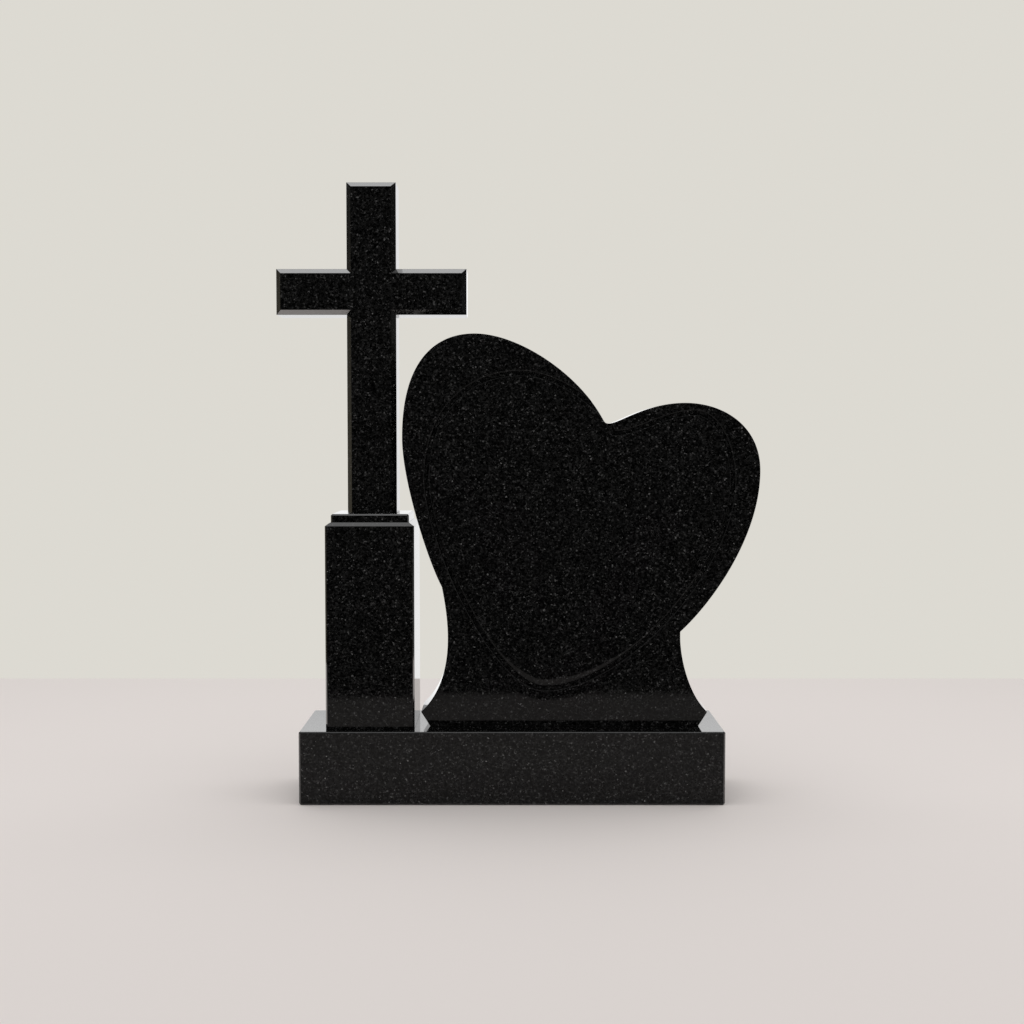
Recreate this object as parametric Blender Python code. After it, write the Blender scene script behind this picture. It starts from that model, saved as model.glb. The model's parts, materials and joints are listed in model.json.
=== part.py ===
"""Cross memorial of polished black granite, in metres, +Z up, its front towards -Y.

A low base slab carries a square pillar with a chamfered cross on the left, and on the right a
tilted heart on a flared foot, with a smaller heart grooved into its face. The origin is the
middle of the base's underside.
"""
import math

import bmesh
import bpy
from mathutils import Vector
from mathutils.geometry import interpolate_bezier

# Spacing between the stones
JOINT_GAP = 0.0003
HEART_CLEARANCE = 0.0063
PILLAR_END_MARGIN = 0.042
HEART_END_MARGIN = 0.0384
BASE_FACE_MARGIN = 0.024

# Base slab
BASE_HEIGHT = 0.1215
BASE_ARRIS = 0.003

# Pillar: a square shaft, a bevelled ledge and a low step block, worked in one
PILLAR_WIDTH = 0.147
PILLAR_DEPTH = 0.147
SHAFT_HEIGHT = 0.336
SHAFT_ARRIS = 0.003
LEDGE_INSET = 0.009
LEDGE_RISE = 0.006
STEP_HEIGHT = 0.0137
STEP_ARRIS = 0.0025

# Cross, set a little to the right of the pillar's middle
CROSS_SET_OFF = 0.0014
CROSS_HEIGHT = 0.547
CROSS_SPAN = 0.3156
CROSS_THICKNESS = 0.080
UPRIGHT_WIDTH = 0.0818
ARM_HEIGHT = 0.0755
ARM_CENTRE_HEIGHT = 0.367
CROSS_CHAMFER = 0.0078

# Heart
HEART_WIDTH = 0.5945
HEART_HEIGHT = 0.6535
HEART_THICKNESS = 0.093
CURVE_STEPS = 32

# Groove: a V with one wall on each side of its line
GROOVE_DEPTH = 0.004
GROOVE_OUTER_WIDTH = 0.0045
GROOVE_INNER_WIDTH = 0.006
CUTTER_LIFT = 0.001

# Polished granite
GRANITE_COLOUR = (0.010, 0.010, 0.011, 1.0)
GRANITE_ROUGHNESS = 0.08


def anchor(point, before=(0.0, 0.0), after=(0.0, 0.0)):
    """A curve's anchor with its two handles, all as shares of the heart's width and height."""
    return Vector(point), Vector(before), Vector(after)


# Both curves run anticlockwise seen from the front, from the heart's left edge and its foot.
HEART_OUTLINE = (
    anchor((0.831, 0.000)),                                            # right end of the foot
    anchor((0.856, 0.036), after=(-0.045, 0.035)),                     # right tip of the flare
    anchor((0.779, 0.242), before=(-0.003, -0.076), after=(0.086, 0.072)),  # notch below the lobe
    anchor((1.000, 0.652), before=(0.000, -0.169), after=(0.000, 0.115)),   # right side
    anchor((0.790, 0.825), before=(0.106, 0.000), after=(-0.132, 0.000)),   # top of the right lobe
    anchor((0.563, 0.779), before=(0.018, -0.028), after=(-0.065, 0.115)),  # cleft
    anchor((0.202, 1.000), before=(0.126, 0.000), after=(-0.114, 0.000)),   # top of the left lobe
    anchor((0.000, 0.737), before=(0.000, 0.189), after=(0.000, -0.115)),   # left side
    anchor((0.110, 0.357), before=(-0.035, 0.059), after=(0.019, -0.085)),  # waist
    anchor((0.051, 0.036), before=(0.101, 0.086)),                     # left tip of the flare
    anchor((0.076, 0.000)),                                            # left end of the foot
)
FOOT_RIGHT_END = HEART_OUTLINE[0][0].x * HEART_WIDTH

GROOVE_LINE = (
    anchor((0.590, 0.749), before=(0.070, 0.000), after=(-0.016, 0.053)),   # cleft
    anchor((0.331, 0.901), before=(0.113, 0.000), after=(-0.152, 0.000)),   # top of the left lobe
    anchor((0.067, 0.632), before=(0.000, 0.170), after=(0.000, -0.150)),   # left side
    anchor((0.397, 0.096), before=(-0.143, 0.004), after=(0.210, -0.005)),  # point
    anchor((0.925, 0.626), before=(0.000, -0.227), after=(0.000, 0.086)),   # right side
    anchor((0.816, 0.801), before=(0.067, 0.000), after=(-0.082, 0.000)),   # top of the right lobe
)


def granite(name):
    """Polished black granite for one stone."""
    material = bpy.data.materials.new(name)
    material.use_nodes = True
    shader = material.node_tree.nodes["Principled BSDF"]
    shader.inputs["Base Color"].default_value = GRANITE_COLOUR
    shader.inputs["Roughness"].default_value = GRANITE_ROUGHNESS
    shader.inputs["Metallic"].default_value = 0.0
    return material


def add_object(name, mesh_builder, location):
    """A finished object with its faces pointing out."""
    bmesh.ops.recalc_face_normals(mesh_builder, faces=mesh_builder.faces[:])
    mesh = bpy.data.meshes.new(name)
    mesh_builder.to_mesh(mesh)
    mesh_builder.free()
    thing = bpy.data.objects.new(name, mesh)
    bpy.context.scene.collection.objects.link(thing)
    thing.location = location
    return thing


def add_stone(name, mesh_builder, location):
    """A finished object that is a stone of its own."""
    stone = add_object(name, mesh_builder, location)
    stone.data.materials.append(granite(name))
    return stone


def cut_corner_ring(width, depth, corner, height, inset=0.0):
    """Level rectangle with its corners cut at 45 degrees, moved in evenly by an inset."""
    x = width / 2 - inset
    y = depth / 2 - inset
    cut = corner - inset * (2 - math.sqrt(2))
    outline = (
        (-x + cut, -y), (x - cut, -y), (x, -y + cut), (x, y - cut),
        (x - cut, y), (-x + cut, y), (-x, y - cut), (-x, -y + cut),
    )
    return [Vector((px, py, height)) for px, py in outline]


def skin(rings, closed=False):
    """Mesh through matching rings of points, capped at both ends or closed in a loop."""
    mesh_builder = bmesh.new()
    loops = [[mesh_builder.verts.new(point) for point in ring] for ring in rings]
    followers = loops[1:] + loops[:1] if closed else loops[1:]
    for lower, upper in zip(loops, followers):
        for index in range(len(lower)):
            previous = index - 1
            mesh_builder.faces.new((lower[previous], lower[index], upper[index], upper[previous]))
    if not closed:
        mesh_builder.faces.new(loops[0])
        mesh_builder.faces.new(loops[-1])
    return mesh_builder


def base_stone(width, depth):
    """Slab with every edge arrised."""
    return skin([
        cut_corner_ring(width, depth, BASE_ARRIS, 0.0, inset=BASE_ARRIS),
        cut_corner_ring(width, depth, BASE_ARRIS, BASE_ARRIS),
        cut_corner_ring(width, depth, BASE_ARRIS, BASE_HEIGHT - BASE_ARRIS),
        cut_corner_ring(width, depth, BASE_ARRIS, BASE_HEIGHT, inset=BASE_ARRIS),
    ])


def pillar_stone():
    """Square shaft, sloping ledge and arrised step block."""
    step_width = PILLAR_WIDTH - 2 * LEDGE_INSET
    step_depth = PILLAR_DEPTH - 2 * LEDGE_INSET
    step_foot = SHAFT_HEIGHT + LEDGE_RISE
    step_top = step_foot + STEP_HEIGHT
    return skin([
        cut_corner_ring(PILLAR_WIDTH, PILLAR_DEPTH, SHAFT_ARRIS, 0.0),
        cut_corner_ring(PILLAR_WIDTH, PILLAR_DEPTH, SHAFT_ARRIS, SHAFT_HEIGHT),
        cut_corner_ring(step_width, step_depth, STEP_ARRIS, step_foot),
        cut_corner_ring(step_width, step_depth, STEP_ARRIS, step_top - STEP_ARRIS),
        cut_corner_ring(step_width, step_depth, STEP_ARRIS, step_top, inset=STEP_ARRIS),
    ])


def cross_outline(depth, inset=0.0):
    """Upright cross at one depth, its edges moved in evenly except at the foot."""
    upright = UPRIGHT_WIDTH / 2 - inset
    reach = CROSS_SPAN / 2 - inset
    arm_low = ARM_CENTRE_HEIGHT - ARM_HEIGHT / 2 + inset
    arm_high = ARM_CENTRE_HEIGHT + ARM_HEIGHT / 2 - inset
    top = CROSS_HEIGHT - inset
    outline = (
        (-upright, 0.0), (upright, 0.0), (upright, arm_low), (reach, arm_low),
        (reach, arm_high), (upright, arm_high), (upright, top), (-upright, top),
        (-upright, arm_high), (-reach, arm_high), (-reach, arm_low), (-upright, arm_low),
    )
    return [Vector((x, depth, z)) for x, z in outline]


def cross_stone():
    """Latin cross with 45 degree chamfers on its front and back edges."""
    face = CROSS_THICKNESS / 2
    shoulder = face - CROSS_CHAMFER
    return skin([
        cross_outline(-face, inset=CROSS_CHAMFER),
        cross_outline(-shoulder),
        cross_outline(shoulder),
        cross_outline(face, inset=CROSS_CHAMFER),
    ])


def trace(anchors):
    """Points round a closed curve in the heart's own plane, each anchor once."""
    points = []
    for (start, _, leave), (end, arrive, _) in zip(anchors, anchors[1:] + anchors[:1]):
        steps = CURVE_STEPS if leave.length or arrive.length else 1
        curve = interpolate_bezier(start, start + leave, end + arrive, end, steps + 1)
        points.extend(curve[:-1])
    return [Vector((point[0] * HEART_WIDTH, point[1] * HEART_HEIGHT)) for point in points]


def mitres(points):
    """Outward vectors at the points of an anticlockwise loop that move its sides out by one."""
    outward = []
    for index, point in enumerate(points):
        arriving = (point - points[index - 1]).normalized()
        leaving = (points[(index + 1) % len(points)] - point).normalized()
        total = arriving + leaving
        outward.append(Vector((total.y, -total.x)) / (1 + arriving.dot(leaving)))
    return outward


def groove_cutter():
    """V section swept round the groove's line, its walls carried on in front of the face."""
    face = -HEART_THICKNESS / 2
    spread = 1 + CUTTER_LIFT / GROOVE_DEPTH
    line = trace(GROOVE_LINE)
    rings = []
    for point, outward in zip(line, mitres(line)):
        inner = point - outward * GROOVE_INNER_WIDTH * spread
        outer = point + outward * GROOVE_OUTER_WIDTH * spread
        rings.append((
            Vector((inner.x, face - CUTTER_LIFT, inner.y)),
            Vector((point.x, face + GROOVE_DEPTH, point.y)),
            Vector((outer.x, face - CUTTER_LIFT, outer.y)),
        ))
    return skin(rings, closed=True)


def heart_stone():
    """Heart and flared foot cut from one slab."""
    outline = trace(HEART_OUTLINE)
    face = HEART_THICKNESS / 2
    return skin([
        [Vector((point.x, depth, point.y)) for point in outline]
        for depth in (-face, face)
    ])


def heart_left_edge(pillar_x, stones_foot, cross_foot):
    """Where the heart's left edge goes so that its outline clears the pillar and the cross."""
    shaft_top = stones_foot + SHAFT_HEIGHT
    arm_middle = cross_foot + ARM_CENTRE_HEIGHT
    arm_half = ARM_HEIGHT / 2 + HEART_CLEARANCE
    obstacles = (
        (stones_foot, shaft_top, PILLAR_WIDTH / 2),
        (shaft_top, cross_foot, PILLAR_WIDTH / 2 - LEDGE_INSET),
        (cross_foot, cross_foot + CROSS_HEIGHT, CROSS_SET_OFF + UPRIGHT_WIDTH / 2),
        (arm_middle - arm_half, arm_middle + arm_half, CROSS_SET_OFF + CROSS_SPAN / 2),
    )
    left_edge = pillar_x
    for point in trace(HEART_OUTLINE):
        height = stones_foot + point.y
        for low, high, reach in obstacles:
            if low <= height <= high:
                left_edge = max(left_edge, pillar_x + reach + HEART_CLEARANCE - point.x)
    return left_edge


def build_memorial():
    """All four stones, laid out from the base's left end and then centred on the base."""
    for thing in list(bpy.data.objects):
        bpy.data.objects.remove(thing)

    stones_foot = BASE_HEIGHT + JOINT_GAP
    cross_foot = stones_foot + SHAFT_HEIGHT + LEDGE_RISE + STEP_HEIGHT + JOINT_GAP
    pillar_x = PILLAR_END_MARGIN + PILLAR_WIDTH / 2
    heart_x = heart_left_edge(pillar_x, stones_foot, cross_foot)
    base_width = heart_x + FOOT_RIGHT_END + HEART_END_MARGIN
    base_depth = max(PILLAR_DEPTH, HEART_THICKNESS) + 2 * BASE_FACE_MARGIN
    middle = base_width / 2

    add_stone("base", base_stone(base_width, base_depth), (0, 0, 0))
    add_stone("pillar", pillar_stone(), (pillar_x - middle, 0, stones_foot))
    add_stone("cross", cross_stone(), (pillar_x + CROSS_SET_OFF - middle, 0, cross_foot))
    heart = add_stone("heart", heart_stone(), (heart_x - middle, 0, stones_foot))

    cutter = add_object("groove_cutter", groove_cutter(), heart.location)
    cutter.hide_render = True
    cutter.display_type = "WIRE"
    groove = heart.modifiers.new("groove", "BOOLEAN")
    groove.operation = "DIFFERENCE"
    groove.solver = "EXACT"
    groove.use_self = True
    groove.object = cutter


build_memorial()
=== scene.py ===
# %% [markdown]
# # A cross memorial in polished black granite
#
# The memorial is four stones: a low base slab, a square pillar with a stepped head, a cross with
# chamfered edges, and a tilted heart on a flared foot with a smaller heart grooved into its face.
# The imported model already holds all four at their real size. This lesson gives them what polished
# granite shows: fine grains of mineral in a black ground, a mirror finish, bright narrow chamfers
# and edges that are eased by a hair instead of razor sharp.

# %% Load the frame
import json
import math

import bmesh
import bpy
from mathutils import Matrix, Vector
from mathutils.geometry import interpolate_bezier

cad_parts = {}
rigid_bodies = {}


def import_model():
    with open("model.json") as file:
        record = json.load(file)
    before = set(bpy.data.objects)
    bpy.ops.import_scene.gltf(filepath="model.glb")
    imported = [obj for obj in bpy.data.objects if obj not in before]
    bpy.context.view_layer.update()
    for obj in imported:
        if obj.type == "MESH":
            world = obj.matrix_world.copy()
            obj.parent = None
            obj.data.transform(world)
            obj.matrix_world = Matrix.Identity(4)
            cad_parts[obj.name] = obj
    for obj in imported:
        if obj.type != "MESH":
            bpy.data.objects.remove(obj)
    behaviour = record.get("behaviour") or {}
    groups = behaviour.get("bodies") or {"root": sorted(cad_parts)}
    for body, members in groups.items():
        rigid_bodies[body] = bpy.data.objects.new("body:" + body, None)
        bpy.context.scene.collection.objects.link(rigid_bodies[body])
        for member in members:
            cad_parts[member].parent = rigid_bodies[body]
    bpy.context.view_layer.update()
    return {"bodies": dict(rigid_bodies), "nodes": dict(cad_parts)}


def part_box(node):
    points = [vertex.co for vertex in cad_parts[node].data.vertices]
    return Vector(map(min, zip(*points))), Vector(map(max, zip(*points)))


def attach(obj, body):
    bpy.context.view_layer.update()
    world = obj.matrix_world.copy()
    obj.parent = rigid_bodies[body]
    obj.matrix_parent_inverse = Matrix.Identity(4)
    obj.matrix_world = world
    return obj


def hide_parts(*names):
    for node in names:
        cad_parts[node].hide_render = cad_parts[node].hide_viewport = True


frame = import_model()
BODY = next(iter(frame["bodies"]))
print("stones:", sorted(frame["nodes"]), "on body", BODY)

# %% [markdown]
# ## The granite's grain
#
# Black granite is a mass of dark crystals a few millimetres across with a few paler ones among
# them. A photograph of a pattern would stretch over the edges and repeat, so the grains are made
# by nodes that read Object coordinates: each grain is a cell of a Voronoi pattern in the solid
# stone, and runs on round a corner just as a cut block's grain does. A small noise bends the cell
# walls, because crystals are not tidy polygons.

# %% Grain
GRAIN_SIZE = 0.0030
GRAIN_BEND = 0.0012
BEND_DETAIL = 2.0
NOISE_MIDDLE = (0.5, 0.5, 0.5)


def bent_coordinates(tree):
    """Object coordinates pushed about by a fine noise."""
    place = tree.nodes.new("ShaderNodeTexCoord")
    noise = tree.nodes.new("ShaderNodeTexNoise")
    noise.inputs["Scale"].default_value = 1 / (2 * GRAIN_SIZE)
    noise.inputs["Detail"].default_value = BEND_DETAIL
    centred = tree.nodes.new("ShaderNodeVectorMath")
    centred.operation = "SUBTRACT"
    centred.inputs[1].default_value = NOISE_MIDDLE
    shift = tree.nodes.new("ShaderNodeVectorMath")
    shift.operation = "MULTIPLY_ADD"
    shift.inputs[1].default_value = (GRAIN_BEND * 2,) * 3
    tree.links.new(place.outputs["Object"], noise.inputs["Vector"])
    tree.links.new(noise.outputs["Color"], centred.inputs[0])
    tree.links.new(centred.outputs[0], shift.inputs[0])
    tree.links.new(place.outputs["Object"], shift.inputs[2])
    return shift.outputs[0]


def grain_cells(tree, coordinates, size):
    """A number from 0 to 1 that is the same all over one crystal."""
    cells = tree.nodes.new("ShaderNodeTexVoronoi")
    cells.inputs["Scale"].default_value = 1 / size
    tree.links.new(coordinates, cells.inputs["Vector"])
    split = tree.nodes.new("ShaderNodeSeparateColor")
    tree.links.new(cells.outputs["Color"], split.inputs["Color"])
    return split.outputs["Red"]


def colour_ramp(tree, value, stops):
    """The colour that a row of stops gives for a number from 0 to 1."""
    node = tree.nodes.new("ShaderNodeValToRGB")
    elements = node.color_ramp.elements
    while len(elements) < len(stops):
        elements.new(0.5)
    for element, (position, colour) in zip(elements, stops):
        element.position = position
        element.color = (*colour, 1.0)
    tree.links.new(value, node.inputs["Fac"])
    return node.outputs["Color"]


print("grain:", round(1000 * GRAIN_SIZE, 1), "mm crystals, bent by", round(1000 * GRAIN_BEND, 1), "mm")

# %% [markdown]
# ## The granite
#
# Two sizes of crystal multiplied together give a few pale grains and many dark ones, and the ramp
# says how pale each share of them is. No two minerals take quite the same polish, so the roughness
# follows the large grains, and the small ones stand a hair proud. What is the same all over a
# finish, such as how strongly it mirrors, is set on the shader itself.

# %% Granite
FLECK_SIZE = 0.0020
FLECK_RELIEF = 0.00002
FLECK_RELIEF_STRENGTH = 0.25
GRAIN_TONES = (
    (0.00, 0.0001),
    (0.02, 0.0014),
    (0.19, 0.0042),
    (0.59, 0.0122),
    (0.77, 0.0275),
    (0.87, 0.0520),
    (0.94, 0.0900),
    (1.00, 0.1600),
)


def new_material(name):
    """A new material with its node tree and its shader."""
    material = bpy.data.materials.new(name)
    material.use_nodes = True
    return material, material.node_tree, material.node_tree.nodes["Principled BSDF"]


def granite(name, specular, ior, smoothest, roughest, paleness=1.0, ground=0.0):
    """Black granite. Paleness scales the tone of its grains, and ground is added to all of them; the
    lips' ground is a painted highlight.
    """
    material, tree, shader = new_material(name)
    coordinates = bent_coordinates(tree)
    grains = grain_cells(tree, coordinates, GRAIN_SIZE)
    flecks = grain_cells(tree, coordinates, FLECK_SIZE)

    both = tree.nodes.new("ShaderNodeMath")
    both.operation = "MULTIPLY"
    tree.links.new(grains, both.inputs[0])
    tree.links.new(flecks, both.inputs[1])
    stops = [(share, (ground + tone * paleness,) * 3) for share, tone in GRAIN_TONES]
    tree.links.new(colour_ramp(tree, both.outputs[0], stops), shader.inputs["Base Color"])

    polish = tree.nodes.new("ShaderNodeMapRange")
    polish.inputs["To Min"].default_value = smoothest
    polish.inputs["To Max"].default_value = roughest
    tree.links.new(grains, polish.inputs["Value"])
    tree.links.new(polish.outputs["Result"], shader.inputs["Roughness"])

    relief = tree.nodes.new("ShaderNodeBump")
    relief.inputs["Strength"].default_value = FLECK_RELIEF_STRENGTH
    relief.inputs["Distance"].default_value = FLECK_RELIEF
    tree.links.new(flecks, relief.inputs["Height"])
    tree.links.new(relief.outputs["Normal"], shader.inputs["Normal"])
    shader.inputs["IOR"].default_value = ior
    shader.inputs["Specular IOR Level"].default_value = specular
    return material


# %% [markdown]
# ## Five finishes of one stone
#
# The faces are polished, and mirror little when they are seen square on. The chamfers read much
# brighter in the photograph, so their finish mirrors more. The base has a slightly paler face, and
# a chamfer finish of its own for its corners and foot. The groove's lips are honed, a dull surface,
# and their grains are painted paler and less contrasting as a painted highlight.

# %% Finishes
face_granite = granite("polished_granite", specular=0.17, ior=1.5, smoothest=0.04, roughest=0.08)
edge_granite = granite("mirror_chamfer", specular=0.5, ior=3.3, smoothest=0.04, roughest=0.06)
base_granite = granite(
    "base_granite", specular=0.17, ior=1.5, smoothest=0.04, roughest=0.08, paleness=1.3
)
base_edge_granite = granite("base_chamfer", specular=0.5, ior=2.0, smoothest=0.05, roughest=0.08)
# The lips' lifted, paler grain colour is a painted highlight for their thin light line.
lip_granite_painted_highlight = granite(
    "honed_lip_painted_highlight", specular=0.05, ior=1.5, smoothest=0.25, roughest=0.4, paleness=0.6, ground=0.01
)
finishes = (face_granite, edge_granite, base_granite, base_edge_granite, lip_granite_painted_highlight)
print("materials:", [finish.name for finish in finishes])

# %% [markdown]
# ## Picking by place
#
# Every stone starts as a primitive at its real size and place, and is shaped in edit mode. By hand
# its faces and edges would be clicked on. In a script they are picked by where they are and which
# way they face, so that the same ones are found however large the stone is.

# %% Starting and picking
TINY = 1e-5


def deselect_all():
    """Nothing selected, in object mode."""
    for thing in bpy.context.selected_objects:
        thing.select_set(False)


def make_active(piece):
    """Only this piece selected, and the next operator works on it."""
    deselect_all()
    piece.select_set(True)
    bpy.context.view_layer.objects.active = piece


def name_primitive(name):
    """The primitive that was just added, with its object and its mesh named."""
    piece = bpy.context.object
    piece.name = name
    piece.data.name = name
    return piece


def box_primitive(name, low, high):
    """A cube primitive that fills the box between two corners."""
    deselect_all()
    size = [high[axis] - low[axis] for axis in range(3)]
    middle = [(high[axis] + low[axis]) / 2 for axis in range(3)]
    bpy.ops.mesh.primitive_cube_add(size=1.0, location=middle, scale=size)
    bpy.ops.object.transform_apply(location=True, rotation=True, scale=True)
    return name_primitive(name)


def pick(piece, faces=None, edges=None):
    """Select in edit mode the faces or the edges that a test accepts, and count them."""
    bpy.ops.object.mode_set(mode="EDIT")
    bpy.ops.mesh.select_mode(type="FACE" if faces else "EDGE")
    bpy.ops.mesh.select_all(action="DESELECT")
    mesh = bmesh.from_edit_mesh(piece.data)
    chosen = 0
    for item in (mesh.faces if faces else mesh.edges):
        wanted = faces(item) if faces else edges(item)
        if wanted:
            item.select = True
            chosen += 1
    mesh.select_flush_mode()
    bmesh.update_edit_mesh(piece.data)
    return chosen


def at_height(item, height):
    """Whether all of a face or an edge lies at one height."""
    return all(abs(vert.co.z - height) < TINY for vert in item.verts)


# %% [markdown]
# ## Chamfers and eased edges
#
# A chamfer is a bevel of one segment on the edges that were picked. It gets its own finish before
# a second, rounded bevel takes the sharpness off whatever edges are left: a real edge is never
# quite sharp, and the round catches a thin line of light. Last, each stone is attached to the body
# it rides on, and the imported node that it stands for is hidden.

# %% Shaping and finishing
SQUARE = 0.99
EASE = 0.0004
EASE_SEGMENTS = 2
EASE_ANGLE = math.radians(20)


def bevel_picked(width, segments=1):
    """Chamfer or round the picked edges, then leave edit mode."""
    bpy.ops.mesh.bevel(offset=width, segments=segments, affect="EDGES", clamp_overlap=False)
    bpy.ops.object.mode_set(mode="OBJECT")


def is_chamfer(face):
    """1 for a face that slopes, 0 for one square to X, Y or Z."""
    return int(max(abs(share) for share in face.normal) < SQUARE)


def dress(piece, choice, *finishes):
    """The finishes as slots, and for each face the number that the choice gives."""
    piece.data.materials.clear()
    for finish in finishes:
        piece.data.materials.append(finish)
    for face in piece.data.polygons:
        face.material_index = choice(face)


def ease_edges(piece):
    """Round every remaining edge by a hair, in the finish of the faces, and apply it."""
    make_active(piece)
    bevel = piece.modifiers.new("eased_edges", "BEVEL")
    bevel.width = EASE
    bevel.segments = EASE_SEGMENTS
    bevel.limit_method = "ANGLE"
    bevel.angle_limit = EASE_ANGLE
    bevel.harden_normals = True
    bevel.material = 0
    bpy.ops.object.shade_smooth()
    bpy.ops.object.modifier_apply(modifier=bevel.name)


def finish_stone(piece, node):
    """Attach the piece to its body, hide the node that it stands for, and count its triangles."""
    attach(piece, BODY)
    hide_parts(node)
    triangles = sum(len(face.vertices) - 2 for face in piece.data.polygons)
    print(f"{piece.name}: {triangles} triangles")


# %% [markdown]
# ## The base
#
# A mason saws a slab, polishes it and takes the arris off every edge with a narrow chamfer, so
# that it won't chip. The cube primitive is the sawn slab. One bevel takes off its corners and its
# foot, and a second, narrower one the edges round its top. The chamfers that look up get the
# brightest finish, because they mirror the light overhead. Those at the corners and beside the
# floor get the one that mirrors less.

# %% Base
ARRIS = 0.003
TOP_ARRIS = 0.0019
LOOKS_UP = 0.3

base_low, base_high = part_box("base")
base_stone = box_primitive("base_stone", base_low, base_high)
pick(base_stone, edges=lambda edge: not at_height(edge, base_high[2]))
bevel_picked(ARRIS)
pick(base_stone, edges=lambda edge: at_height(edge, base_high[2]))
bevel_picked(TOP_ARRIS)
dress(
    base_stone,
    lambda face: is_chamfer(face) * (1 if face.normal.z > LOOKS_UP else 2),
    base_granite,
    edge_granite,
    base_edge_granite,
)
ease_edges(base_stone)
finish_stone(base_stone, "base")

# %% [markdown]
# ## The pillar
#
# The pillar is one stone: a square shaft, a sloping ledge, and a low step block that the cross
# stands on. Insetting the shaft's top face and raising it makes the ledge, and extruding it makes
# the step. At the front and the back the ledge slopes at 45 degrees, so that it mirrors the light
# overhead and not the cross, and ends in a narrow flat. The corners are beveled last, from the
# foot to the top of the step in one run.

# %% Pillar
LEDGE_INSET = 0.009
LEDGE_RISE = 0.006
LEDGE_FLAT = 0.0005
STEP_HEIGHT = 0.0137
PILLAR_ARRIS = 0.0025

pillar_low, pillar_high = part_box("pillar")
shaft_top = pillar_high[2] - STEP_HEIGHT - LEDGE_RISE
pillar_stone = box_primitive("pillar_stone", pillar_low, (pillar_high[0], pillar_high[1], shaft_top))

shaft_depth = pillar_high[1] - pillar_low[1]
slope_depth = shaft_depth - 2 * LEDGE_RISE
step_depth = shaft_depth - 2 * LEDGE_INSET

pick(pillar_stone, faces=lambda face: at_height(face, shaft_top))
bpy.ops.mesh.inset(thickness=LEDGE_INSET - LEDGE_FLAT)
bpy.ops.transform.translate(value=(0, 0, LEDGE_RISE))
bpy.ops.transform.resize(value=(1, slope_depth / (step_depth + 2 * LEDGE_FLAT), 1))
bpy.ops.mesh.inset(thickness=LEDGE_FLAT)
bpy.ops.transform.resize(value=(1, step_depth / (slope_depth - 2 * LEDGE_FLAT), 1))
bpy.ops.mesh.extrude_region_move(TRANSFORM_OT_translate={"value": (0, 0, STEP_HEIGHT)})
bpy.ops.object.mode_set(mode="OBJECT")


def is_upright(edge):
    """Whether an edge stands straight up."""
    a, b = (vert.co for vert in edge.verts)
    return abs(a.x - b.x) < TINY and abs(a.y - b.y) < TINY


pick(pillar_stone, edges=lambda edge: at_height(edge, pillar_high[2]) or is_upright(edge))
bevel_picked(PILLAR_ARRIS)
dress(pillar_stone, is_chamfer, face_granite, edge_granite)
ease_edges(pillar_stone)
finish_stone(pillar_stone, "pillar")

# %% [markdown]
# ## The cross
#
# The cross starts as the block where its bars meet. Each bar is an extrusion of one side of that
# block. The flat faces are then merged, so that a chamfer can meet itself in clean mitres at the
# inner corners.

# %% Cross
UPRIGHT_WIDTH = 0.0818
ARM_HEIGHT = 0.0755
ARM_CENTRE_HEIGHT = 0.367
LEVEL = math.radians(1)

cross_low, cross_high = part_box("cross")
cross_x = (cross_low[0] + cross_high[0]) / 2
arm_low = cross_low[2] + ARM_CENTRE_HEIGHT - ARM_HEIGHT / 2
arm_high = arm_low + ARM_HEIGHT
half_upright = UPRIGHT_WIDTH / 2
cross_stone = box_primitive(
    "cross_stone",
    (cross_x - half_upright, cross_low[1], arm_low),
    (cross_x + half_upright, cross_high[1], arm_high),
)

bars = (
    (Vector((0, 0, 1)), cross_high[2] - arm_high),
    (Vector((0, 0, -1)), arm_low - cross_low[2]),
    (Vector((1, 0, 0)), cross_high[0] - cross_x - half_upright),
    (Vector((-1, 0, 0)), cross_x - half_upright - cross_low[0]),
)
core_middle = Vector((cross_x, 0, (arm_low + arm_high) / 2))


def is_core_side(face, way):
    """The side of the middle block that looks the given way."""
    offset = face.calc_center_median() - core_middle
    return face.normal.dot(way) > SQUARE and (offset - way * offset.dot(way)).length < TINY


for way, length in bars:
    pick(cross_stone, faces=lambda face: is_core_side(face, way))
    bpy.ops.mesh.extrude_region_move(TRANSFORM_OT_translate={"value": way * length})
    bpy.ops.object.mode_set(mode="OBJECT")

bpy.ops.object.mode_set(mode="EDIT")
bpy.ops.mesh.select_all(action="SELECT")
bpy.ops.mesh.dissolve_limited(angle_limit=LEVEL)
bpy.ops.object.mode_set(mode="OBJECT")
print("cross: bars of", [round(1000 * length, 1) for _, length in bars], "mm")

# %% [markdown]
# ## The cross's chamfers
#
# A broad chamfer at 45 degrees runs round the front and the back face, and each side of it mirrors
# another part of the room: the upper ones are bright and the ones to the right nearly black. It
# leaves out the two edges at the foot, where the cross stands flat on the pillar.

# %% Cross chamfers
CROSS_CHAMFER = 0.0078


def is_face_outline(edge):
    """An edge round the front or back face, apart from the foot's."""
    on_face = all(abs(abs(vert.co.y) - cross_high[1]) < TINY for vert in edge.verts)
    same_face = edge.verts[0].co.y * edge.verts[1].co.y > 0
    return on_face and same_face and not at_height(edge, cross_low[2])


chamfered = pick(cross_stone, edges=is_face_outline)
bevel_picked(CROSS_CHAMFER)
print("cross: chamfered", chamfered, "edges")
dress(cross_stone, is_chamfer, face_granite, edge_granite)
ease_edges(cross_stone)
finish_stone(cross_stone, "cross")

# %% [markdown]
# ## The heart's outline
#
# The heart is cut from a slab along one free curve: two leaning lobes, a waist and a flared foot.
# A Bezier curve with a handful of points and two handles each says that better than any row of
# corners. The places are shares of the heart's own width and height, from its left edge and foot.

# %% Heart outline
OUTLINE_STEPS = 48


def anchor(point, before=(0.0, 0.0), after=(0.0, 0.0)):
    """A point of the curve with the handles before and after it."""
    return Vector(point), Vector(before), Vector(after)


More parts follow.
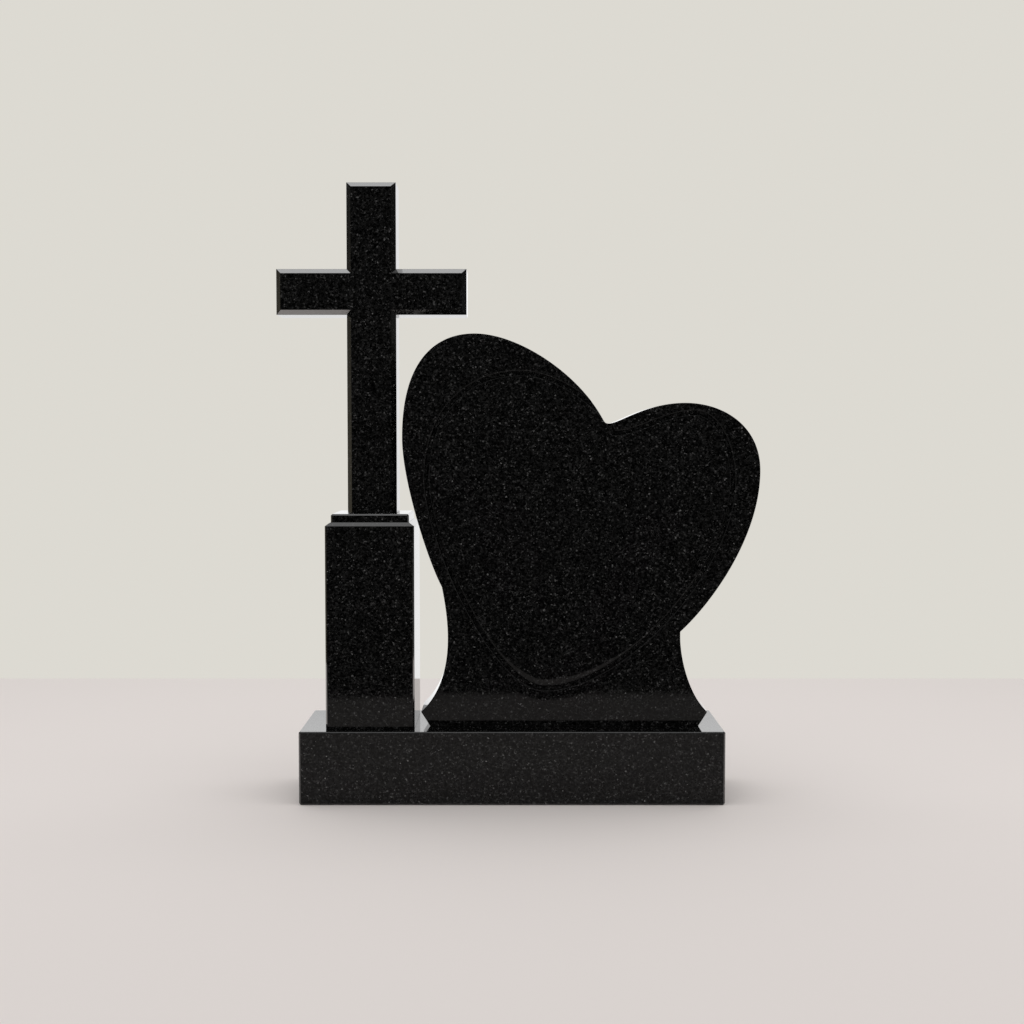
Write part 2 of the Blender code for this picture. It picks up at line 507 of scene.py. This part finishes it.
HEART_OUTLINE = (
    anchor((0.831, 0.000)),
    anchor((0.856, 0.036), after=(-0.045, 0.035)),
    anchor((0.779, 0.242), before=(-0.003, -0.076), after=(0.086, 0.072)),
    anchor((1.000, 0.652), before=(0.000, -0.169), after=(0.000, 0.115)),
    anchor((0.790, 0.825), before=(0.106, 0.000), after=(-0.132, 0.000)),
    anchor((0.563, 0.779), before=(0.018, -0.028), after=(-0.065, 0.115)),
    anchor((0.202, 1.000), before=(0.126, 0.000), after=(-0.114, 0.000)),
    anchor((0.000, 0.737), before=(0.000, 0.189), after=(0.000, -0.115)),
    anchor((0.110, 0.357), before=(-0.035, 0.059), after=(0.019, -0.085)),
    anchor((0.051, 0.036), before=(0.101, 0.086)),
    anchor((0.076, 0.000)),
)
heart_low, heart_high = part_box("heart")
heart_width = heart_high[0] - heart_low[0]
heart_height = heart_high[2] - heart_low[2]


def on_heart(share):
    """A share of the heart's width and height as a place in metres, across and up."""
    return Vector((heart_low[0] + share[0] * heart_width, heart_low[2] + share[1] * heart_height))


def trace(anchors, steps):
    """Points round a closed curve, each anchor once."""
    points = []
    for (start, _, leave), (end, arrive, _) in zip(anchors, anchors[1:] + anchors[:1]):
        count = steps if leave.length or arrive.length else 1
        points.extend(interpolate_bezier(start, start + leave, end + arrive, end, count + 1)[:-1])
    return [on_heart(point) for point in points]


outline_points = trace(HEART_OUTLINE, OUTLINE_STEPS)
print("heart:", len(outline_points), "points round its outline")

# %% [markdown]
# ## The heart's slab
#
# A filled circle primitive with as many corners as the curve has points is laid on the curve. That
# is the slab's back face, and one extrusion gives the slab its thickness. An extruded face can
# leave the shape inside out, so its normals are turned outwards afterwards.

# %% Heart slab
def face_from_points(name, points, depth):
    """A circle primitive with one corner for each point, its corners moved to the points."""
    deselect_all()
    bpy.ops.mesh.primitive_circle_add(vertices=len(points), radius=1.0, fill_type="NGON")
    piece = name_primitive(name)
    for vert, point in zip(piece.data.vertices, points):
        vert.co = (point[0], depth, point[1])
    return piece


heart_thickness = heart_high[1] - heart_low[1]
heart_stone = face_from_points("heart_stone", outline_points, heart_high[1])
bpy.ops.object.mode_set(mode="EDIT")
bpy.ops.mesh.select_all(action="SELECT")
bpy.ops.mesh.extrude_region_move(TRANSFORM_OT_translate={"value": (0, -heart_thickness, 0)})
bpy.ops.mesh.select_all(action="SELECT")
bpy.ops.mesh.normals_make_consistent(inside=False)
bpy.ops.object.mode_set(mode="OBJECT")
print("heart:", round(1000 * heart_thickness), "mm thick")

# %% [markdown]
# ## Easing the heart's edge
#
# The heart has no chamfer. Its long edge is only taken off by a stone, so it gets a round of less
# than a millimetre, before the groove is cut, because a bevel across the place where the groove
# runs out through the side would tear.

# %% Heart edge
HEART_EASE = 0.0007


def is_rim(edge):
    """An edge of the front or the back face."""
    return abs(edge.verts[0].co.y - edge.verts[1].co.y) < TINY


make_active(heart_stone)
rim = pick(heart_stone, edges=is_rim)
bevel_picked(HEART_EASE, EASE_SEGMENTS)
print("heart: eased", rim, "edges")

# %% [markdown]
# ## The groove's section
#
# A wheel cuts the small heart as a narrow groove with steep walls, so each wall mirrors only the
# other one and the line reads as black. The lips round over into the face, and their paler colour,
# a painted highlight, draws a thin light line on both sides. Round the small heart's point the face
# also dishes towards the groove by half a millimetre. So little tilt is enough for a polished face
# to mirror the pale floor, and it shows as a bright crescent above the point. Each wall is a row of
# places: how far from the groove's line, and how far below the face.

# %% Groove section
GROOVE_DEPTH = 0.0043
GROOVE_POINT_RISE = 0.11
INNER_DISH = 0.0110
INNER_DISH_DEPTH = 0.00048
OUTER_DISH = 0.0180
OUTER_DISH_DEPTH = 0.00031
LEAST_DISH = 0.0005
DISH_STEPS = 6
CUTTER_LIFT = 0.001
CUTTER_FLARE = 0.0005
INNER_WALL = (
    (0.0062, 0.0),
    (0.0054, 0.0002),
    (0.0048, 0.0007),
    (0.0043, 0.0014),
    (0.0027, GROOVE_DEPTH),
)
OUTER_WALL = (
    (0.0052, 0.0),
    (0.0047, 0.0001),
    (0.0039, 0.0005),
    (0.0034, 0.0010),
    (0.0022, GROOVE_DEPTH),
)


def side_section(wall, dish_width, dish_depth, nearness):
    """Distances from the groove's line and depths, from above the face down to the bottom."""
    lip = wall[0][0]
    depth = dish_depth * nearness
    reach = lip + max(dish_width * nearness, LEAST_DISH)
    section = [(reach + CUTTER_FLARE, -CUTTER_LIFT)]
    for step in range(DISH_STEPS):
        share = step / DISH_STEPS
        section.append((reach + (lip - reach) * share, depth * share ** 2))
    for across, below in wall:
        fade = 1 - below / GROOVE_DEPTH
        section.append((across, below + depth * fade))
    return section


print("groove:", round(1000 * (INNER_WALL[0][0] + OUTER_WALL[0][0]), 1), "mm wide between its lips")

# %% [markdown]
# ## The groove's line
#
# The small heart is a second curve on the same face. At each of its points the section is set
# across the line. Where the line turns, the way across is the mitre of its two sides, stretched so
# that the groove keeps its width round the corner at the cleft.

# %% Groove line
GROOVE_STEPS = 40
GROOVE_LINE = (
    anchor((0.590, 0.749), before=(0.070, 0.000), after=(-0.016, 0.053)),
    anchor((0.331, 0.901), before=(0.113, 0.000), after=(-0.152, 0.000)),
    anchor((0.067, 0.632), before=(0.000, 0.170), after=(0.000, -0.150)),
    anchor((0.397, 0.096), before=(-0.143, 0.004), after=(0.210, -0.005)),
    anchor((0.925, 0.626), before=(0.000, -0.227), after=(0.000, 0.086)),
    anchor((0.816, 0.801), before=(0.067, 0.000), after=(-0.082, 0.000)),
)


def mitres(points):
    """Outward vectors at the points of an anticlockwise loop that move its sides out by one."""
    outward = []
    for index, point in enumerate(points):
        arriving = (point - points[index - 1]).normalized()
        leaving = (points[(index + 1) % len(points)] - point).normalized()
        total = arriving + leaving
        outward.append(Vector((total.y, -total.x)) / (1 + arriving.dot(leaving)))
    return outward


groove_points = trace(GROOVE_LINE, GROOVE_STEPS)
groove_foot = min(point.y for point in groove_points)
print("groove:", len(groove_points), "points along its line")

# %% [markdown]
# ## The groove's cutter
#
# The cutter is the shape of the stone that the wheel takes away: the section drawn at each point
# of the line and skinned into a closed tube. The dish is widest at the small heart's point and
# fades out above it, so each ring of the tube has a section of its own.

# %% Cutter
front = heart_low[1]


def section_at(height):
    """The groove's whole section for a point of its line, from the inner side to the outer."""
    nearness = max(0.0, 1 - (height - groove_foot) / GROOVE_POINT_RISE)
    inner = side_section(INNER_WALL, INNER_DISH, INNER_DISH_DEPTH, nearness)
    outer = side_section(OUTER_WALL, OUTER_DISH, OUTER_DISH_DEPTH, nearness)
    return [(-across, depth) for across, depth in inner] + outer[::-1]


def groove_cutter():
    """A closed tube along the groove's line, as an object."""
    mesh = bmesh.new()
    rings = []
    for point, outward in zip(groove_points, mitres(groove_points)):
        ring = []
        for across, depth in section_at(point.y):
            place = point + outward * across
            ring.append(mesh.verts.new((place.x, front + depth, place.y)))
        rings.append(ring)
    for index, ring in enumerate(rings):
        previous = rings[index - 1]
        for corner in range(len(ring)):
            mesh.faces.new((previous[corner - 1], previous[corner], ring[corner], ring[corner - 1]))
    bmesh.ops.recalc_face_normals(mesh, faces=mesh.faces[:])
    data = bpy.data.meshes.new("groove_cutter")
    mesh.to_mesh(data)
    mesh.free()
    tool = bpy.data.objects.new("groove_cutter", data)
    bpy.context.scene.collection.objects.link(tool)
    return tool


cutter = groove_cutter()
print("cutter:", len(cutter.data.polygons), "faces")

# %% [markdown]
# ## Cutting the groove
#
# A Boolean modifier takes the cutter out of the stone. It handles the places that would be hard to
# model by hand: where the groove runs out through the stone's side, and the cleft, where the tube
# folds over itself. The exact solver with its self option is made for such overlaps.

# %% Cut
make_active(heart_stone)
cut = heart_stone.modifiers.new("groove", "BOOLEAN")
cut.operation = "DIFFERENCE"
cut.solver = "EXACT"
cut.use_self = True
cut.object = cutter
bpy.ops.object.modifier_apply(modifier=cut.name)
bpy.data.objects.remove(cutter)
print("heart:", len(heart_stone.data.polygons), "faces after the cut")

# %% [markdown]
# ## The heart's finish
#
# The lips are found by their tilt and by how close they lie behind the face, and get the honed
# finish with its painted highlight. Smooth shading would bend the reflections in the flat face near
# every edge. Sharp edges by angle and weighted normals stop that: the large flat face decides the
# normals at its own edge, and stays a true mirror.

# %% Heart finish
LIP_TILT = math.radians(11)
LIP_START = 0.0001
LIP_DEPTH = 0.0013
SHARP = math.radians(25)
FLAT_FACE_WEIGHT = 100


def is_lip(face):
    """A face on one of the groove's lips: tilted, and close behind the front."""
    close = front + LIP_START < face.center.y < front + LIP_DEPTH
    return close and -face.normal.y < math.cos(LIP_TILT)


# The lips get the finish whose paler colour is a painted highlight.
dress(heart_stone, lambda face: int(is_lip(face)), face_granite, lip_granite_painted_highlight)
bpy.ops.object.shade_smooth_by_angle(angle=SHARP)
weighted = heart_stone.modifiers.new("flat_faces", "WEIGHTED_NORMAL")
weighted.keep_sharp = True
weighted.weight = FLAT_FACE_WEIGHT
bpy.ops.object.modifier_apply(modifier=weighted.name)
finish_stone(heart_stone, "heart")

# %% [markdown]
# ## The floor
#
# Polished black stone shows what is round it, so the studio is laid out for its reflections. The
# floor is plain and matt, and pale with a touch of pink. It ends about a metre in front of the
# stones, and so shows only low on their faces, which stay black above.

# %% Floor
FLOOR_WIDTH = 4.4
FLOOR_FRONT = -1.05
FLOOR_BACK = 1.18
FLOOR_TONE = (0.79, 0.745, 0.725, 1.0)
FLOOR_ROUGHNESS = 0.9

deselect_all()
bpy.ops.mesh.primitive_plane_add(size=1.0, location=(0, (FLOOR_FRONT + FLOOR_BACK) / 2, 0))
floor = name_primitive("studio_floor")
floor.scale = (FLOOR_WIDTH, FLOOR_BACK - FLOOR_FRONT, 1)
bpy.ops.object.transform_apply(location=True, rotation=True, scale=True)
floor_material, _, floor_shader = new_material("pale_floor")
floor_shader.inputs["Base Color"].default_value = FLOOR_TONE
floor_shader.inputs["Roughness"].default_value = FLOOR_ROUGHNESS
floor_shader.inputs["Specular IOR Level"].default_value = 0.0
floor.data.materials.append(floor_material)
print("floor:", FLOOR_WIDTH, "m wide, from", FLOOR_FRONT, "to", FLOOR_BACK, "m")

# %% [markdown]
# ## The softbox
#
# One broad softbox overhead lights the floor and gives the memorial its soft shadow. A lamp points
# straight down when it isn't turned. The stones don't mirror it, because the reflections get
# lights of their own in the next steps.

# %% Softbox
SOFTBOX_PLACE = (0.0, 0.15, 2.6)
SOFTBOX_SIZE = (3.0, 1.5)
SOFTBOX_BRIGHTNESS = 1.3

lamp = bpy.data.lights.new("overhead_softbox", "AREA")
lamp.shape = "RECTANGLE"
lamp.size, lamp.size_y = SOFTBOX_SIZE
lamp.energy = SOFTBOX_BRIGHTNESS * math.pi * lamp.size * lamp.size_y
softbox = bpy.data.objects.new("overhead_softbox", lamp)
bpy.context.scene.collection.objects.link(softbox)
softbox.location = SOFTBOX_PLACE
softbox.visible_camera = False
softbox.visible_glossy = False
print("softbox:", round(lamp.energy, 1), "watts")

# %% [markdown]
# ## What the stone mirrors
#
# A room round the memorial would be a lot of modelling for a few reflections, so the world's
# shader gives each kind of ray what it needs: the camera sees a plain pale backdrop, diffuse rays
# an even fill, and mirrored rays a dark room with soft glows in it. A glow is a colour ramp over
# the angle between a ray and the glow's middle.

# %% Surroundings
HALF_TURN = 180

world = bpy.data.worlds.new("studio")
bpy.context.scene.world = world
world.use_nodes = True
tree = world.node_tree
ray = tree.nodes.new("ShaderNodeTexCoord")
print("world:", world.name)


def surroundings(colour=(0.0, 0.0, 0.0, 1.0)):
    """One background, plain unless something is linked into its colour."""
    background = tree.nodes.new("ShaderNodeBackground")
    background.inputs["Color"].default_value = colour
    return background


def vector_math(operation, first, constant=None):
    """One vector node, on a socket and, where it needs one, a constant."""
    node = tree.nodes.new("ShaderNodeVectorMath")
    node.operation = operation
    tree.links.new(first, node.inputs[0])
    if constant is not None:
        node.inputs[1].default_value = constant
    return node


def glow(towards, stops, tone=(1.0, 1.0, 1.0), wide=1.0):
    """Brightness by the angle in degrees from a direction, and wider to the left and right."""
    narrowed = vector_math("MULTIPLY", ray.outputs["Object"], (1 / wide, 1.0, 1.0))
    unit = vector_math("NORMALIZE", narrowed.outputs[0])
    facing = vector_math("DOT_PRODUCT", unit.outputs[0], Vector(towards).normalized())
    angle = tree.nodes.new("ShaderNodeMath")
    angle.operation = "ARCCOSINE"
    tree.links.new(facing.outputs["Value"], angle.inputs[0])
    half_turns = tree.nodes.new("ShaderNodeMath")
    half_turns.operation = "DIVIDE"
    half_turns.inputs[1].default_value = math.pi
    tree.links.new(angle.outputs[0], half_turns.inputs[0])
    colours = [
        (degrees / HALF_TURN, [brightness * channel for channel in tone])
        for degrees, brightness in stops
    ]
    return colour_ramp(tree, half_turns.outputs[0], colours)


# The Mix node has sockets for every kind of data, and these are the places of its colours.
FIRST_COLOUR, SECOND_COLOUR, MIXED_COLOUR = 6, 7, 2


def blend_light(kind, first, second):
    """Two colours added or multiplied."""
    both = tree.nodes.new("ShaderNodeMix")
    both.data_type = "RGBA"
    both.blend_type = kind
    both.clamp_result = False
    both.inputs["Factor"].default_value = 1.0
    tree.links.new(first, both.inputs[FIRST_COLOUR])
    tree.links.new(second, both.inputs[SECOND_COLOUR])
    return both.outputs[MIXED_COLOUR]


# %% [markdown]
# ## The glows
#
# The glow overhead is what the upward chamfers mirror. The one behind the memorial shows only at a
# glancing angle, in the stones' sides and tops, and is brighter above the skyline, where the base's
# top mirrors it. A warm one to the left and a faint one to the right light the upright chamfers.
# Each pair of numbers is an angle in degrees from the glow's middle and the brightness there.

# %% Glows
OVERHEAD = (0, 0.1305, 0.9914)
OVERHEAD_WIDE = 3.0
OVERHEAD_STOPS = (
    (0, 1.3),
    (3.5, 1.3),
    (7, 0.75),
    (10.5, 0.36),
    (14, 0.27),
    (19, 0.21),
    (35, 0.06),
    (70, 0.012),
)
BEHIND = (0, 1, 0)
BEHIND_STOPS = ((0, 1.24), (15, 1.24), (19, 0.33), (26, 0.0))
LEFT = (-1, 0.45, -0.12)
LEFT_STOPS = ((14, 0.18), (16.7, 0.145), (17.3, 0.13), (19.85, 0.07), (23.3, 0.012), (30, 0.0))
LEFT_TONE = (1.0, 0.88, 0.64)
RIGHT = (1, -0.07, -0.12)
RIGHT_STOPS = ((0, 0.105), (6, 0.105), (9, 0.03), (14, 0.0))
SKYLINE = math.sin(math.radians(10.0))
SKYLINE_TOP = math.sin(math.radians(11.4))
SKYLINE_GAIN = 1.42

overhead = glow(OVERHEAD, OVERHEAD_STOPS, wide=OVERHEAD_WIDE)
behind = glow(BEHIND, BEHIND_STOPS)
left = glow(LEFT, LEFT_STOPS, tone=LEFT_TONE)
right = glow(RIGHT, RIGHT_STOPS)

direction = tree.nodes.new("ShaderNodeSeparateXYZ")
tree.links.new(ray.outputs["Object"], direction.inputs[0])
skyline = tree.nodes.new("ShaderNodeMapRange")
skyline.inputs["From Min"].default_value = SKYLINE
skyline.inputs["From Max"].default_value = SKYLINE_TOP
skyline.inputs["To Min"].default_value = 1.0
skyline.inputs["To Max"].default_value = SKYLINE_GAIN
tree.links.new(direction.outputs["Z"], skyline.inputs["Value"])
behind = blend_light("MULTIPLY", behind, skyline.outputs["Result"])

mirrored = surroundings()
sides = blend_light("ADD", left, right)
glows = blend_light("ADD", blend_light("ADD", overhead, behind), sides)
tree.links.new(glows, mirrored.inputs["Color"])
print("glows: overhead, behind, to the left and to the right")

# %% [markdown]
# ## Sorting the rays
#
# The Light Path node says what kind of ray is asking. Two switches use it: the first gives diffuse
# rays the fill and the rest the glows, and the second gives the camera its backdrop.

# %% Rays
BACKDROP = (0.72, 0.70, 0.645, 1.0)
FILL = (0.75, 0.74, 0.73, 1.0)
path = tree.nodes.new("ShaderNodeLightPath")


def choose(kind, otherwise, wanted):
    """The second shader for one kind of ray and the first for the rest."""
    switch = tree.nodes.new("ShaderNodeMixShader")
    tree.links.new(path.outputs[kind], switch.inputs["Fac"])
    tree.links.new(otherwise, switch.inputs[1])
    tree.links.new(wanted, switch.inputs[2])
    return switch.outputs[0]


lit = choose("Is Diffuse Ray", mirrored.outputs[0], surroundings(FILL).outputs[0])
seen = choose("Is Camera Ray", lit, surroundings(BACKDROP).outputs[0])
tree.links.new(seen, tree.nodes["World Output"].inputs["Surface"])
print("world: a pale backdrop for the camera, an even fill and the glows for the stone")

# %% [markdown]
# ## The camera
#
# The camera stands where the photograph was taken: straight in front, a little above the middle of
# the memorial, and looking slightly down. The plain view transform shows the tones as they are
# set, where a filmic one would dull the brightest chamfers.

# %% Camera
CAMERA_DISTANCE = 2.4615
CAMERA_HEIGHT = 0.5983
CAMERA_PITCH = math.radians(2.8037)
LENS = 51.17
SENSOR_WIDTH = 36.0

camera_data = bpy.data.cameras.new("camera")
camera_data.lens = LENS
camera_data.sensor_width = SENSOR_WIDTH
camera = bpy.data.objects.new("camera", camera_data)
bpy.context.scene.collection.objects.link(camera)
camera.location = (0.0, -CAMERA_DISTANCE, CAMERA_HEIGHT)
camera.rotation_euler = (math.pi / 2 - CAMERA_PITCH, 0.0, 0.0)
bpy.context.scene.camera = camera
bpy.context.scene.view_settings.view_transform = "Standard"
print("camera:", CAMERA_DISTANCE, "m in front,", CAMERA_HEIGHT, "m up")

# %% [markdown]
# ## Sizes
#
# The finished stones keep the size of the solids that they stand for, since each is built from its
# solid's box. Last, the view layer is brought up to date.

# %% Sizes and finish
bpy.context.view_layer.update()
